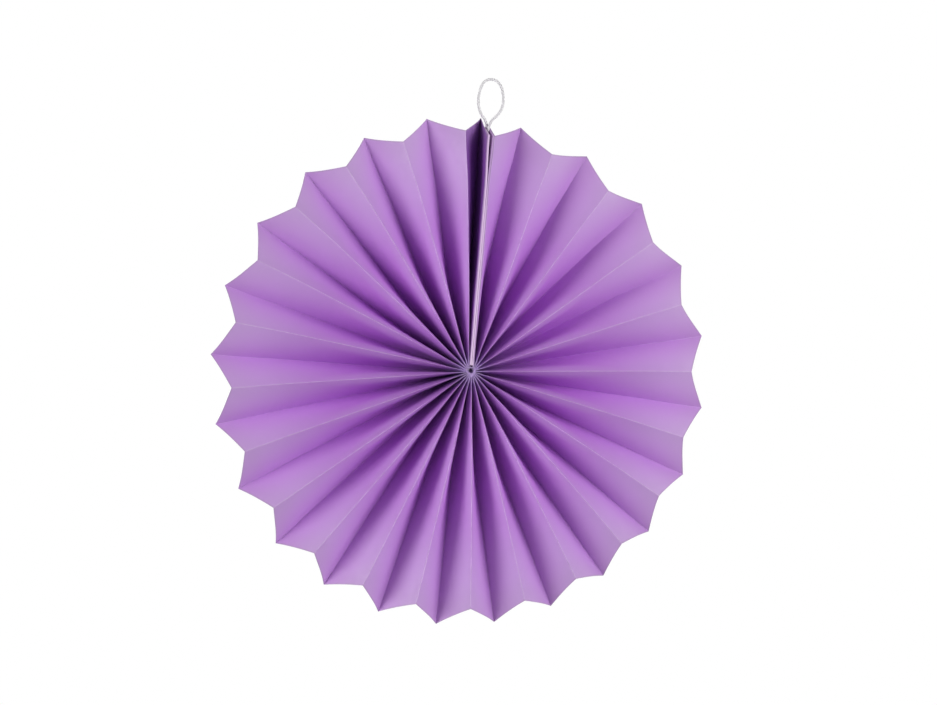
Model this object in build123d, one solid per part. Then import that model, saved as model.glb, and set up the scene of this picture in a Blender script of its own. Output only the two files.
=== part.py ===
from build123d import *
from functools import lru_cache
from math import asin, cos, exp, pi, sin, sqrt, tan
import os

# Paper fan rosette. One long strip of paper is folded into narrow pleats, gathered at one edge on a
# thread and opened into a full circle. Its two end panels stand together at the top as the seam: each
# is glued to a stiff card strip, and a tape joins the two cards, with a hanging loop between their tips.
# All sizes are in millimetres. The rosette hangs upright: X to the right, Y to the back, Z up. It is
# modelled about the middle of its hub, and moved at the end, so that the origin is where it hangs.

# Folded strip
PLEATS = 24  # back folds, each of which ends in a point of the rim
RIM_RADIUS = 150.0  # from the middle of the hub to the points
POINT_CUT = 10.8  # how much shorter the front folds are than the back folds
PAPER = 0.16  # thickness of the paper
FLATTEST_PLEAT = 5.0  # front to back at the rim, in the pleat that is pulled open the most
PLEAT_GAP = 0.05  # air between neighbouring panels where they are gathered
OPEN_TOP = 0.10  # how much wider than the mean the pleats are near the top
OPEN_TOP_PLACE = 0.045  # where they are widest, as a share of the way round from the seam
OPEN_SIDES = 0.04  # how much wider they are again at two places opposite each other
OPEN_SIDES_PLACE = 0.69
FIRST_PANEL = 0.86  # opening of the first free panel after the seam, against its neighbours
LAST_PANEL = 0.45  # the last free panel stands close against the seam
SPREAD_RADIUS = 60.0  # inside this radius the pleats turn evenly round the hub
LEAN_REACH = 5.0  # panels over which the seam pushes its neighbours to the front

# Seam
CARD = 1.0  # thickness of one card strip
CARD_START = 4.1  # from the middle of the hub to the inner end of the cards
CARD_CLEARANCE = 0.3  # the seam's paper is fully parted this far before the cards start
GLUE = 0.1  # film between a card and its panel
TAPE = 0.3  # thickness of the tape between the cards
TAPE_START = 9.0  # from the middle of the hub
TAPE_SETBACK = 2.0  # from the cards' front and back edges, and from where they part, to the tape
CARD_MOUTH = 14.0  # at the rim the cards stand apart by the loop's thickness over this length
SPLAY_LENGTH = 66.0  # the cards part over this length before it
EDGE_SETBACK = 0.8  # the free edge of an end panel stops this short of its card's edge

# Gathering thread
THREAD = 0.8
THREAD_HOLE = 1.1  # holes in the panels that the thread runs through
HOLE_SIDES = 8
THREAD_INSET = 1.5  # from the inner ends of the panels to the thread
KNOT = 1.4

# Hanging loop, as (across, above the rim, to the back)
LOOP_CORD = 1.8
LOOP_CLEARANCE = 0.05
STRAND_GAP = 0.2  # between the two strands where the cards hold them
LOOP_ROUTE = [
    (0.0, -9.8, -1.0),
    (0.0, -1.4, -1.0),
    (6.3, 4.4, -0.8),
    (8.6, 12.0, -0.5),
    (6.5, 21.1, -0.3),
    (2.9, 24.7, -0.1),
    (-2.3, 24.7, 0.1),
    (-5.9, 21.1, 0.3),
    (-7.4, 11.8, 0.5),
    (-5.6, 4.2, 0.8),
    (0.0, -1.4, 1.0),
    (0.0, -9.8, 1.0),
]
ARC_SHARE = 0.45  # of the shorter run beside a corner that its arc takes up

STATIONS = 13  # steps along each fold
HUB_STEPS = 3  # of these, the ones before the cards
STATION_BIAS = 1.9  # above 1 the others lie closer together near the hub

FOLDS = 2 * PLEATS  # front and back folds in turn, clockwise from the seam
FREE_PANELS = FOLDS - 1  # those between two folds
HUB_RADIUS = FOLDS * (PAPER + PLEAT_GAP) / (2 * pi)
SEAM_PAPER_AT_HUB = (PAPER + PLEAT_GAP) / 2  # from the seam's middle to the middle of its paper
SEAM_PAPER = TAPE / 2 + CARD + GLUE + PAPER / 2  # the same, where it lies against the cards
SEAM_PARTED = CARD_START - CARD_CLEARANCE
SPLAY = LOOP_CORD / 2 + LOOP_CLEARANCE - TAPE / 2  # how far each card moves out for the loop
SPLAY_END = RIM_RADIUS - CARD_MOUTH
SPLAY_START = SPLAY_END - SPLAY_LENGTH
TAPE_END = SPLAY_START - TAPE_SETBACK
THREAD_RADIUS = HUB_RADIUS + THREAD_INSET


def ease(share):
    """A smooth step from 0 to 1."""
    share = min(max(share, 0.0), 1.0)
    return share * share * (3 - 2 * share)


def seam_offset(radius):
    """From the seam's middle plane to the middle of its paper, on either side."""
    parted = min((radius - HUB_RADIUS) / (SEAM_PARTED - HUB_RADIUS), 1)
    beside_card = SEAM_PAPER_AT_HUB + parted * (SEAM_PAPER - SEAM_PAPER_AT_HUB)
    return beside_card + SPLAY * ease((radius - SPLAY_START) / SPLAY_LENGTH)


def opening(panel):
    """How far a free panel is opened at the rim, against the mean."""
    place = (panel + 0.5) / FREE_PANELS
    spread = 1 + OPEN_TOP * cos(2 * pi * (place - OPEN_TOP_PLACE))
    spread += OPEN_SIDES * cos(4 * pi * (place - OPEN_SIDES_PLACE))
    if panel == 0:
        spread *= FIRST_PANEL
    if panel == FREE_PANELS - 1:
        spread *= LAST_PANEL
    return spread


TOTAL_OPENING = sum(opening(panel) for panel in range(FREE_PANELS))
RIM_SHARES = [sum(opening(panel) for panel in range(fold)) / TOTAL_OPENING for fold in range(FOLDS)]


def fold_angle(fold, radius):
    """Clockwise from the seam, seen from the front, in radians."""
    side = asin(seam_offset(radius) / radius)
    at_rim = ease((radius - HUB_RADIUS) / (SPREAD_RADIUS - HUB_RADIUS))
    share = (1 - at_rim) * fold / FREE_PANELS + at_rim * RIM_SHARES[fold]
    return side + share * (2 * pi - 2 * side)


def chord(panel, radius):
    """Width of the sector that a free panel covers."""
    sector = fold_angle(panel + 1, radius) - fold_angle(panel, radius)
    return 2 * radius * sin(sector / 2)


MEAN_RIM = RIM_RADIUS - POINT_CUT / 2
WIDEST = max(chord(panel, MEAN_RIM) for panel in range(FREE_PANELS))
PANEL_WIDTH = sqrt(WIDEST**2 + FLATTEST_PLEAT**2)  # the pleat, from fold to fold


def fold_end(fold):
    """Radius where a fold ends: the back folds run on to the points of the rim."""
    return RIM_RADIUS if fold % 2 else RIM_RADIUS - POINT_CUT


def fold_radius(fold, step):
    """Where a fold's stations lie: evenly as far as the cards, then further and further apart."""
    if step <= HUB_STEPS:
        return HUB_RADIUS + step / HUB_STEPS * (SEAM_PARTED - HUB_RADIUS)
    share = ((step - HUB_STEPS) / (STATIONS - HUB_STEPS)) ** STATION_BIAS
    return SEAM_PARTED + share * (fold_end(fold) - SEAM_PARTED)


def stand(panel, step):
    """How deep a free panel stands, front to back. Its width stays the same all the way out."""
    radius = (fold_radius(panel, step) + fold_radius(panel + 1, step)) / 2
    return sqrt(PANEL_WIDTH**2 - chord(panel, radius) ** 2)


@lru_cache(maxsize=None)
def fold_depth(fold, step):
    """Y of a fold, negative to the front."""
    half = PANEL_WIDTH / 2
    last = FREE_PANELS - 1
    if fold == 0:
        return -half
    if fold == FREE_PANELS:
        return half
    side = 1 if fold % 2 else -1
    free = side * (stand(fold - 1, step) + stand(fold, step)) / 4
    push_right = stand(0, step) - half - (stand(0, step) + stand(1, step)) / 4
    push_left = half - stand(last, step) + (stand(last, step) + stand(last - 1, step)) / 4
    near_right = exp(-(fold - 1) / LEAN_REACH)
    near_left = exp(-(last - fold) / LEAN_REACH)
    return free + push_right * near_right + push_left * near_left


@lru_cache(maxsize=None)
def line_point(line, step):
    """A point of a fold, or of the strip's free edges: line -1 and the line after the last fold."""
    if line == -1 or line == FOLDS:
        radius = fold_radius(line, step)
        side = 1 if line == -1 else -1
        across = side * seam_offset(radius)
        reach = side * (PANEL_WIDTH / 2 - EDGE_SETBACK)
        return Vector(across, reach, sqrt(radius**2 - across**2))
    radius = fold_radius(line, step)
    angle = fold_angle(line, radius)
    return Vector(radius * sin(angle), fold_depth(line, step), radius * cos(angle))


def along(line, step):
    """Direction of a fold, away from the hub."""
    before = line_point(line, max(step - 1, 0))
    after = line_point(line, min(step + 1, STATIONS))
    return (after - before).normalized()


def towards(line, neighbour, step):
    """Direction across a panel, from one of its folds to the other, square to the fold."""
    way = line_point(neighbour, step) - line_point(line, step)
    axis = along(line, step)
    return (way - axis * way.dot(axis)).normalized()


@lru_cache(maxsize=None)
def skin_points(line, step, face):
    """The paper's surface at a fold, on its front face (-1) or back face (1): two points where the
    fold is bent outwards, one before the fold and one after it, and one point twice in its inside."""
    middle = line_point(line, step)
    axis = along(line, step)
    half = PAPER / 2
    if line == -1:
        out = towards(line, 0, step).cross(axis) * -face
        return (middle + out * half,) * 2
    if line == FOLDS:
        out = towards(line, line - 1, step).cross(axis) * face
        return (middle + out * half,) * 2
    back = towards(line, line - 1, step)
    ahead = towards(line, line + 1, step)
    bent_out = (face == 1) == (line % 2 == 1)
    if bent_out:
        return (middle + back.cross(axis) * face * half, middle - ahead.cross(axis) * face * half)
    half_angle_sine = sqrt((1 - back.dot(ahead)) / 2)
    inside = middle + (back + ahead).normalized() * (half / half_angle_sine)
    return (inside, inside)


def between(near, far):
    """Two flat facets between two stretches of line. Each stretch is its inner and its outer point."""
    return [
        Face(Wire.make_polygon([near[0], near[1], far[1]], close=True)),
        Face(Wire.make_polygon([near[0], far[1], far[0]], close=True)),
    ]


def stretch(line, step, face, side):
    """One step of a panel's long edge. Side 0 is before the fold and side 1 after it."""
    return (skin_points(line, step, face)[side], skin_points(line, step + 1, face)[side])


def long_faces(step):
    """The strip's two sides, its bends and its free edges, over one step of the radius."""
    faces = []
    for face in (-1, 1):
        for line in range(-1, FOLDS):
            faces += between(stretch(line, step, face, 1), stretch(line + 1, step, face, 0))
    for line in range(FOLDS):
        outer = 1 if line % 2 else -1
        faces += between(stretch(line, step, outer, 0), stretch(line, step, outer, 1))
    for line in (-1, FOLDS):
        faces += between(stretch(line, step, -1, 0), stretch(line, step, 1, 0))
    return faces


def end_faces(step):
    """Closes the strip's section at the hub or at the cut rim, panel by panel and fold by fold."""
    faces = []
    for line in range(-1, FOLDS):
        here = (skin_points(line, step, -1)[1], skin_points(line, step, 1)[1])
        there = (skin_points(line + 1, step, -1)[0], skin_points(line + 1, step, 1)[0])
        faces += between(here, there)
    for line in range(FOLDS):
        outer = 1 if line % 2 else -1
        before, after = skin_points(line, step, outer)
        inside = skin_points(line, step, -outer)[0]
        faces.append(Face(Wire.make_polygon([before, after, inside], close=True)))
    return faces


def pleated_strip():
    """The folded strip of paper as one solid of flat facets."""
    faces = end_faces(0) + end_faces(STATIONS)
    for step in range(STATIONS):
        faces += long_faces(step)
    return Solid(Shell(faces))


def needle_holes():
    """What the needle takes out of each panel, square to the paper, where the thread runs through it."""
    section = RegularPolygon(THREAD_HOLE / 2, HOLE_SIDES)
    pitch = (fold_angle(FREE_PANELS, THREAD_RADIUS) - fold_angle(0, THREAD_RADIUS)) / FREE_PANELS
    holes = []
    for line in range(-1, FOLDS):
        before = fold_angle(max(line, 0), THREAD_RADIUS)
        after = fold_angle(min(line + 1, FREE_PANELS), THREAD_RADIUS)
        angle = (before + after) / 2
        place = Vector(THREAD_RADIUS * sin(angle), 0, THREAD_RADIUS * cos(angle))
        through = Plane(origin=place, z_dir=towards(line, line + 1, 1).cross(along(line, 1)))
        holes.append(extrude(through * section, amount=pitch * THREAD_RADIUS / 2, both=True))
    return holes


def make_pleated_disc():
    return pleated_strip() - needle_holes()


def make_centre_thread():
    """The tied thread. Its knot lies in the seam, inside the ends of the cards."""
    ring = Rot(X=90) * Torus(THREAD_RADIUS, THREAD / 2)
    return ring + Pos(0, 0, THREAD_RADIUS) * Sphere(KNOT / 2)


def card_strip():
    """The right-hand card. It is bent outwards where it takes the loop, and cut at the rim's slant."""
    inner = TAPE / 2
    third = SPLAY_LENGTH / 3
    bent = inner + SPLAY
    with BuildPart() as card:
        with BuildSketch(Plane.XZ.offset(-PANEL_WIDTH / 2)):
            with BuildLine():
                Line((inner, CARD_START), (inner, SPLAY_START))
                Bezier(
                    (inner, SPLAY_START),
                    (inner, SPLAY_START + third),
                    (bent, SPLAY_END - third),
                    (bent, SPLAY_END),
                )
                Line((bent, SPLAY_END), (bent, RIM_RADIUS))
                Line((bent, RIM_RADIUS), (bent + CARD, RIM_RADIUS))
                Line((bent + CARD, RIM_RADIUS), (bent + CARD, SPLAY_END))
                Bezier(
                    (bent + CARD, SPLAY_END),
                    (bent + CARD, SPLAY_END - third),
                    (inner + CARD, SPLAY_START + third),
                    (inner + CARD, SPLAY_START),
                )
                Line((inner + CARD, SPLAY_START), (inner + CARD, CARD_START))
                Line((inner + CARD, CARD_START), (inner, CARD_START))
            make_face()
        extrude(amount=PANEL_WIDTH)
        with BuildSketch(Plane.YZ.offset(-1)):
            with BuildLine():
                Polyline(
                    (-PANEL_WIDTH / 2, RIM_RADIUS - POINT_CUT),
                    (PANEL_WIDTH / 2, RIM_RADIUS),
                    (-PANEL_WIDTH / 2, RIM_RADIUS),
                    close=True,
                )
            make_face()
        extrude(amount=2 + bent + CARD, mode=Mode.SUBTRACT)
    return card.part


def make_seam_tape():
    length = TAPE_END - TAPE_START
    width = PANEL_WIDTH - 2 * TAPE_SETBACK
    return Pos(0, 0, (TAPE_START + TAPE_END) / 2) * Box(TAPE, width, length)


def loop_radii(points):
    """The arc at each corner of the loop's route, as large as its two runs allow."""
    radii = []
    for before, corner, after in zip(points, points[1:], points[2:]):
        run_in = corner - before
        run_out = after - corner
        turn = run_in.get_angle(run_out) * pi / 180
        radii.append(ARC_SHARE * min(run_in.length, run_out.length) / tan(turn / 2))
    return radii


def loop_path(points, radii):
    """Straight runs joined by tangent arcs."""
    edges = []
    start = points[0]
    for before, corner, after, radius in zip(points, points[1:], points[2:], radii):
        back = (before - corner).normalized()
        ahead = (after - corner).normalized()
        half_turn = (pi - back.get_angle(ahead) * pi / 180) / 2
        reach = radius * tan(half_turn)
        arc_start = corner + back * reach
        arc_end = corner + ahead * reach
        centre = corner + (back + ahead).normalized() * (radius / cos(half_turn))
        middle = centre + (corner - centre).normalized() * radius
        edges.append(Edge.make_line(start, arc_start))
        edges.append(Edge.make_three_point_arc(arc_start, middle, arc_end))
        start = arc_end
    edges.append(Edge.make_line(start, points[-1]))
    return Wire(edges)


def make_hanging_loop():
    """One length of cord, bent back on itself, both ends held between the cards."""
    strand = (LOOP_CORD + STRAND_GAP) / 2
    points = [Vector(across, strand * depth, RIM_RADIUS + up) for across, up, depth in LOOP_ROUTE]
    radii = loop_radii(points)
    path = loop_path(points, radii)
    print("loop radii", [round(radius, 1) for radius in radii])
    section = Plane(origin=path @ 0, z_dir=path % 0) * Circle(LOOP_CORD / 2)
    cord = sweep(section, path=path)
    expected = pi * (LOOP_CORD / 2) ** 2 * path.length
    print(f"loop length {path.length:.1f}, volume {cord.volume:.2f}, section x length {expected:.2f}")
    return cord


LOOP_TOP = RIM_RADIUS + max(up for _, up, _ in LOOP_ROUTE) - LOOP_CORD / 2  # the loop's inside top
HANG = Pos(0, 0, -LOOP_TOP)


def main():
    os.makedirs("parts", exist_ok=True)
    right_card = card_strip()
    nodes = {
        "pleated_disc": make_pleated_disc(),
        "left_card_strip": mirror(right_card, about=Plane.YZ),
        "right_card_strip": right_card,
        "seam_tape": make_seam_tape(),
        "centre_thread": make_centre_thread(),
        "hanging_loop": make_hanging_loop(),
    }
    print(f"panel width {PANEL_WIDTH:.2f}, hub radius {HUB_RADIUS:.2f}, loop top {LOOP_TOP:.2f}")
    for name, shape in nodes.items():
        export_step(HANG * shape, f"parts/{name}.step")


main()
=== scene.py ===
from collections import namedtuple
from functools import lru_cache
from math import asin, cos, exp, pi, radians, sin, sqrt
import random

import bpy
from mathutils import Matrix, Vector, noise


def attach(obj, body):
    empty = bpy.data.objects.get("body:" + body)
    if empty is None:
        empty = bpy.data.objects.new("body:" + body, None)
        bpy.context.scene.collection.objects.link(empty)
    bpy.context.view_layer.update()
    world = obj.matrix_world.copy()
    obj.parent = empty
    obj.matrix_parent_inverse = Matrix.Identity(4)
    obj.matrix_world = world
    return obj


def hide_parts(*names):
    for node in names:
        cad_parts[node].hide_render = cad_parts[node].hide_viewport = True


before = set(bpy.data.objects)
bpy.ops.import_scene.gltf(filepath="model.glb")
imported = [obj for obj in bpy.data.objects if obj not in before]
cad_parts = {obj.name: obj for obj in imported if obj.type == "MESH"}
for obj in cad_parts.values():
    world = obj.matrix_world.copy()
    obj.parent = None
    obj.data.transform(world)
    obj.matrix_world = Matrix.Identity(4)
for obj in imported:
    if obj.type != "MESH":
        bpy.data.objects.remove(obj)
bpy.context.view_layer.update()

MM = 0.001
HUB = Vector((0, 0, -173.8 * MM))  # the middle of the disc

# Folded strip
PLEATS = 24
RIM_RADIUS = 150 * MM  # out to the points of the rim
POINT_CUT = 10.8 * MM  # the slanted cut leaves the front folds this much shorter
PAPER = 0.16 * MM
FLATTEST_PLEAT = 5 * MM  # how deep the widest panel still stands at the rim
PLEAT_GAP = 0.05 * MM  # between the panels gathered at the hub
OPEN_TOP = 0.10  # the pleats near the top are opened this much wider than the mean
OPEN_TOP_PLACE = 0.045  # a share of the way round, clockwise from the seam
OPEN_SIDES = 0.04  # the same for two sides that face each other
OPEN_SIDES_PLACE = 0.69
FIRST_PANEL = 0.86  # the free panels beside the seam are opened less
LAST_PANEL = 0.45
LEAN_REACH = 5.0  # folds over which the seam's hold on the pleats' depth fades
LAST_PLEAT_PULL = radians(1.4)  # the pleat on the seam's left side is pulled this much wider open
LAST_POINTS = 3.0 * MM  # and the rim stands out this much further there
PULL_REACH = 4  # folds that move with it
FOLDS = 2 * PLEATS
PANELS = FOLDS + 1
FREE_PANELS = FOLDS - 1  # all but the two at the seam

# Seam
CARD = 1.0 * MM
CARD_START = 4.1 * MM  # from the hub's middle
CARD_TIP = 3.1 * MM  # the front corner of each card reaches in to here
CARD_TIP_DEPTH = 5 * MM  # how far to the back that corner goes where the card starts
CARD_TIP_END = 3 * MM  # and at its inner end
CARD_CLEARANCE = 0.3 * MM  # the seam's paper is fully parted this much before the cards
PARTING = 1.4  # it parts slowly at first, so that the pleats beside it keep their room
GLUE = 0.1 * MM
TAPE = 0.3 * MM
CARD_MOUTH = 14 * MM  # the cards have parted for the loop this far below the rim's points
SPLAY_LENGTH = 28 * MM  # and part over this length
EDGE_SETBACK = 0.8 * MM  # the strip's free edges end this much short of the cards' own

# Hanging loop, as (across, above the rim, to the back) in millimetres
LOOP_CORD = 1.8 * MM
LOOP_CLEARANCE = 0.05 * MM
STRAND_PLACE = 1.0 * MM  # from the seam's middle to each strand, where the cards hold them
LOOP_ROUTE = [
    (0.0, -9.8, -1.0),
    (0.0, -1.4, -1.0),
    (6.3, 4.4, -0.8),
    (8.6, 12.0, -0.5),
    (6.5, 21.1, -0.3),
    (2.9, 24.7, -0.1),
    (-2.3, 24.7, 0.1),
    (-5.9, 21.1, 0.3),
    (-7.4, 11.8, 0.5),
    (-5.6, 4.2, 0.8),
    (0.0, -1.4, 1.0),
    (0.0, -9.8, 1.0),
]
LOOP_PLIES = 3
LOOP_TWIST = 5.5 * MM  # length of cord over which a ply goes once round
LOOP_SIDES = 12  # of each ply's mesh
LOOP_FIBRE = 0.12 * MM

# Gathering thread
THREAD = 0.8 * MM
THREAD_INSET = 1.5 * MM  # from the panels' inner ends
THREAD_PLIES = 2
THREAD_TURNS = 9  # of each ply, in the whole ring
THREAD_STEPS = 180
THREAD_SIDES = 10
THREAD_FIBRE = 0.08 * MM
KNOT_WRAPS = 3
KNOT_RADIUS = 0.42 * MM
KNOT_LENGTH = 1.2 * MM
KNOT_TIGHTNESS = 0.6  # the thread's girth in the knot, against its full girth
KNOT_TURNS = 5  # of each ply, in the whole knot
KNOT_STEPS = 16  # for each wrap
KNOT_SIDES = 8

# Plies of cord and thread
PLY_PRESSED = 1.12  # how much stouter they are than plies that only touch
PLY_FLATTENED = 0.06  # thinner by this share, and wider by as much

HUB_RADIUS = FOLDS * (PAPER + PLEAT_GAP) / (2 * pi)
SEAM_PAPER_AT_HUB = (PAPER + PLEAT_GAP) / 2
SEAM_PAPER = TAPE / 2 + CARD + GLUE + PAPER / 2
SEAM_PARTED = CARD_TIP - CARD_CLEARANCE
SPLAY = LOOP_CORD / 2 + LOOP_CLEARANCE - TAPE / 2
SPLAY_START = RIM_RADIUS - CARD_MOUTH - SPLAY_LENGTH
THREAD_RADIUS = HUB_RADIUS + THREAD_INSET

# The paper's own curves: where the pleats are gathered each panel is rounded beside its folds, and where
# they are pulled open the creases stay sharper than the panels
ROUND_START = 4 * MM
ROUND_FULL = 28 * MM
ROUND_END = 132 * MM
ROUNDING = 0.55 * MM
CREASING = 0.22 * MM
UNEVEN = 0.25  # how much the rounding differs from panel to panel
RIM_WAVE = 0.5 * MM
WAVE_LENGTH = 45 * MM
WAVE_START = 40 * MM
WAVE_PANELS = 4  # the wave fades out this close to the seam
RIM_BOW = 0.5 * MM  # how far the cut rim bends inwards between two folds
BOW_POWER = 3  # the bow grows with this power of the way out

# Mesh of the paper and the cards
STATIONS = 48  # steps along each fold
HUB_STEPS = 6  # of these, the ones before the cards
STATION_BIAS = 1.6  # above 1 the steps grow towards the rim
COLUMNS = 12  # steps across each panel
BEND_STEPS = 4  # steps round the outside of each fold
SHARP_ANGLE = radians(60)  # edges that turn further are shaded as sharp
CARD_STEPS = 60  # along each card

# Flat layout of the paper's faces: a rectangle for each side of each panel, and lanes for the cut edges.
# Margins and fills are shares of a rectangle or a lane
LAYOUT_COLUMNS = 25
LAYOUT_ROWS = 4
SHEET_LENGTH = 152 * MM  # of one rectangle
ARC_WIDTH = 0.2 * MM  # of each step round a bend
SIDE_MARGIN = 0.02
SIDE_FILL = 0.92
END_MARGIN = 0.01
END_FILL = 0.98
EDGE_FILL = 1.9  # a lane runs over two rectangles
LANE_MARGIN = 0.2
LANE_FILL = 0.6

# Colours
LILAC = (0.52, 0.155, 0.69)
LILAC_CLOUD = (0.48, 0.135, 0.65)
# Painted shade: the paper darker towards the hub, where the deep pleats lie in shade
LILAC_INNER_SHADE = (0.41, 0.17, 0.55)
# Painted shadow in the deep pleat on the seam's left side
LILAC_SEAM_SHADOW = (0.20, 0.05, 0.33)
# Painted light: a paler paper where the light falls, outwards and beside the front folds
LILAC_LIT = (0.545, 0.31, 0.695)
LILAC_WORN = (0.68, 0.50, 0.78)
HUB_GREY = (0.48, 0.32, 0.66)
HUB_PALE = (0.80, 0.62, 0.98)
RIM_GREY = (0.40, 0.28, 0.47)
CARD_WHITE = (0.84, 0.78, 0.85)
CARD_FLECK = (0.70, 0.63, 0.72)
# Painted lilac light reflected from the paper onto the white cards
CARD_LILAC_BOUNCE = (0.90, 0.65, 0.97)
# Painted lilac shade on the cards beside the paper
CARD_PAPER_SHADE = (0.40, 0.22, 0.50)
# Painted shade for the shaded gap between the cards, on the right card's rim
CARD_PAINTED_SHADE = (0.44, 0.27, 0.55)
TAPE_FILM = (0.72, 0.68, 0.74)
TAPE_SMEAR = (0.62, 0.57, 0.64)
CORD_WHITE = (0.90, 0.89, 0.90)
CORD_SHADE = (0.80, 0.78, 0.81)
THREAD_PALE = (0.66, 0.58, 0.70)
THREAD_SHADE = (0.46, 0.38, 0.52)
FLOOR_PALE = (0.84, 0.84, 0.85)
FLOOR_FLECK = (0.87, 0.87, 0.88)
WHITE = (1.0, 1.0, 1.0)

# Grain. Each range is the noise values between which one tone or roughness turns into the other
TONE_RANGE = (0.35, 0.75)
SOFT_RANGE = (0.3, 0.8)
CLOUD_FINENESS = 0.45  # against the stray fibres' own
STRAY_WIDTH = 0.035  # in noise values
STRAY_TONE = 0.12  # what a stray fibre adds to the clouds
STRAY_HEIGHT = 0.3
BREAK_RANGE = (0.25, 0.7)
LEAST_WORN = 0.35  # what is left of a worn line where it breaks up
YARN_RANGE = (0.3, 0.7)
YARN_STRETCH = (1.0, 1.0, 0.12)  # draws the fibres out along their ply
GRAIN_HEIGHT = 0.1 * MM
PAPER_FIBRE = 1.2 * MM
CARD_FIBRE = 0.8 * MM
TAPE_BLOTCH = 3 * MM
FLOOR_BLOTCH = 20 * MM
PAPER_ROUGHNESS = (0.56, 0.68)
TAPE_ROUGHNESS = (0.3, 0.5)

# Painted light and shade, and wear. Each zone is the two distances from the hub's middle between which one
# comes or goes
# The paper's painted shade towards the hub fades out between these
INNER_SHADE_ZONE = (12 * MM, 60 * MM)
# The paper's painted light comes in between these
LIT_ZONE = (35 * MM, 130 * MM)
BACKS_LIT = 0.6  # the back folds get less painted light than the front ones
FRONTS_LIT_ZONE = (20 * MM, 55 * MM)
FRONTS_LIT = 0.7  # beside the front folds the painted light starts nearer to the hub
FRONTS_LIT_REACH = 0.7  # of a panel's width
# The painted shadow in the pleat beside the seam comes in between these
SEAM_SHADOW_ZONE = (30 * MM, 70 * MM)
RUBBED_ZONE = (10 * MM, 50 * MM)
RUBBED = (0.15, 0.6)  # the front folds' lines, within that zone's start and beyond its end
FRONT_LINE = 0.6 * MM
BACK_LINE = 0.4 * MM
BACK_RUBBED = 0.4
HANDLED_ZONE = (6 * MM, 16 * MM)
HANDLED = 0.7
PALE_ZONE = (3 * MM, 9 * MM)  # the panels' inner ends
PALE = 0.95
RIM_BAND = 20 * MM  # greyed this far in from the cut rim
RIM_BAND_GREY = 0.22
RIM_LINE = 1.4 * MM
RIM_LINE_GREY = 0.85
CUT_PALE = 0.5  # of the cut edges
LILAC_BOUNCE_ZONE = (0.0, 20 * MM)
LILAC_BOUNCE = (0.6, 0.9)  # painted lilac light reflected from the paper onto the cards, at that zone's start and end
# The painted shade on the right card comes in between these
CARD_SHADE_ZONE = (85 * MM, 120 * MM)

# The photograph's view: the rosette leans clockwise, and the camera stands to its left
LEAN = radians(5.0)
CAMERA_SIDE = radians(13.2)
CAMERA_RISE = radians(-2.0)
CAMERA_DISTANCE = 1.0
CAMERA_LENS = 65
AIM_ABOVE_HUB = 11 * MM

# Lamps, as (to the right, to the back, up) from the hub
KEY_PLACE = Vector((1.45, -1.40, 0.60))
KEY_WIDTH = 1.5
KEY_POWER = 33
SIDE_PLACE = Vector((-1.93, -0.82, 0.17))
SIDE_WIDTH = 1.1
SIDE_POWER = 27
BACK_PLACE = Vector((-0.7, 1.8, 0.9))
BACK_WIDTH = 1.5
BACK_POWER = 26
WORLD_LIGHT = 0.06

FLOOR_DROP = 0.95  # from the origin down to the floor
FLOOR_RADIUS = 1.5
FLOOR_SIDES = 96
FLOOR_PLAIN = 0.7  # radius inside which the floor shows its own colour
FLOOR_FADED = 0.97  # share of its radius at which it has faded into the background


def ease(share):
    """A smooth step from 0 to 1."""
    share = min(max(share, 0.0), 1.0)
    return share * share * (3 - 2 * share)


# The strip's shape

def splay(radius):
    """How far each card has moved out to make room for the loop."""
    return SPLAY * ease((radius - SPLAY_START) / SPLAY_LENGTH)


def seam_offset(radius):
    """From the seam's middle plane to the middle of its paper."""
    parted = min((radius - HUB_RADIUS) / (SEAM_PARTED - HUB_RADIUS), 1) ** PARTING
    return SEAM_PAPER_AT_HUB + parted * (SEAM_PAPER - SEAM_PAPER_AT_HUB) + splay(radius)


def opening(panel):
    """How far a free panel is opened at the rim, against the mean."""
    place = (panel + 0.5) / FREE_PANELS
    spread = 1 + OPEN_TOP * cos(2 * pi * (place - OPEN_TOP_PLACE))
    spread += OPEN_SIDES * cos(4 * pi * (place - OPEN_SIDES_PLACE))
    if panel == 0:
        spread *= FIRST_PANEL
    if panel == FREE_PANELS - 1:
        spread *= LAST_PANEL
    return spread


TOTAL_OPENING = sum(opening(panel) for panel in range(FREE_PANELS))
RIM_SHARES = [sum(opening(panel) for panel in range(fold)) / TOTAL_OPENING for fold in range(FOLDS)]


def near_seam(steps):
    """From 1 at the seam's left side down to 0 within a few folds of it."""
    return ease(1 - steps / PULL_REACH)


def pulled_back(fold):
    """How far round a fold is drawn away from the seam's left side. The last fold is held by the card."""
    return LAST_PLEAT_PULL * near_seam(FREE_PANELS - 1 - fold) if fold < FREE_PANELS else 0.0


def fold_angle(fold, radius):
    """Clockwise from the seam, seen from the front, in radians. Seen from there each fold runs straight
    from its place in the gathered hub, where all are evenly spaced, to its place at the rim."""
    side = asin(seam_offset(radius) / radius)
    at_rim = (1 - HUB_RADIUS / radius) / (1 - HUB_RADIUS / RIM_RADIUS)
    share = (1 - at_rim) * fold / FREE_PANELS + at_rim * RIM_SHARES[fold]
    return side + share * (2 * pi - 2 * side) - at_rim * pulled_back(fold)


def chord(panel, radius):
    """Width of the sector that a free panel covers."""
    sector = fold_angle(panel + 1, radius) - fold_angle(panel, radius)
    return 2 * radius * sin(sector / 2)


WIDEST = max(chord(panel, RIM_RADIUS - POINT_CUT / 2) for panel in range(FREE_PANELS))
PANEL_WIDTH = sqrt(WIDEST**2 + FLATTEST_PLEAT**2)


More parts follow.
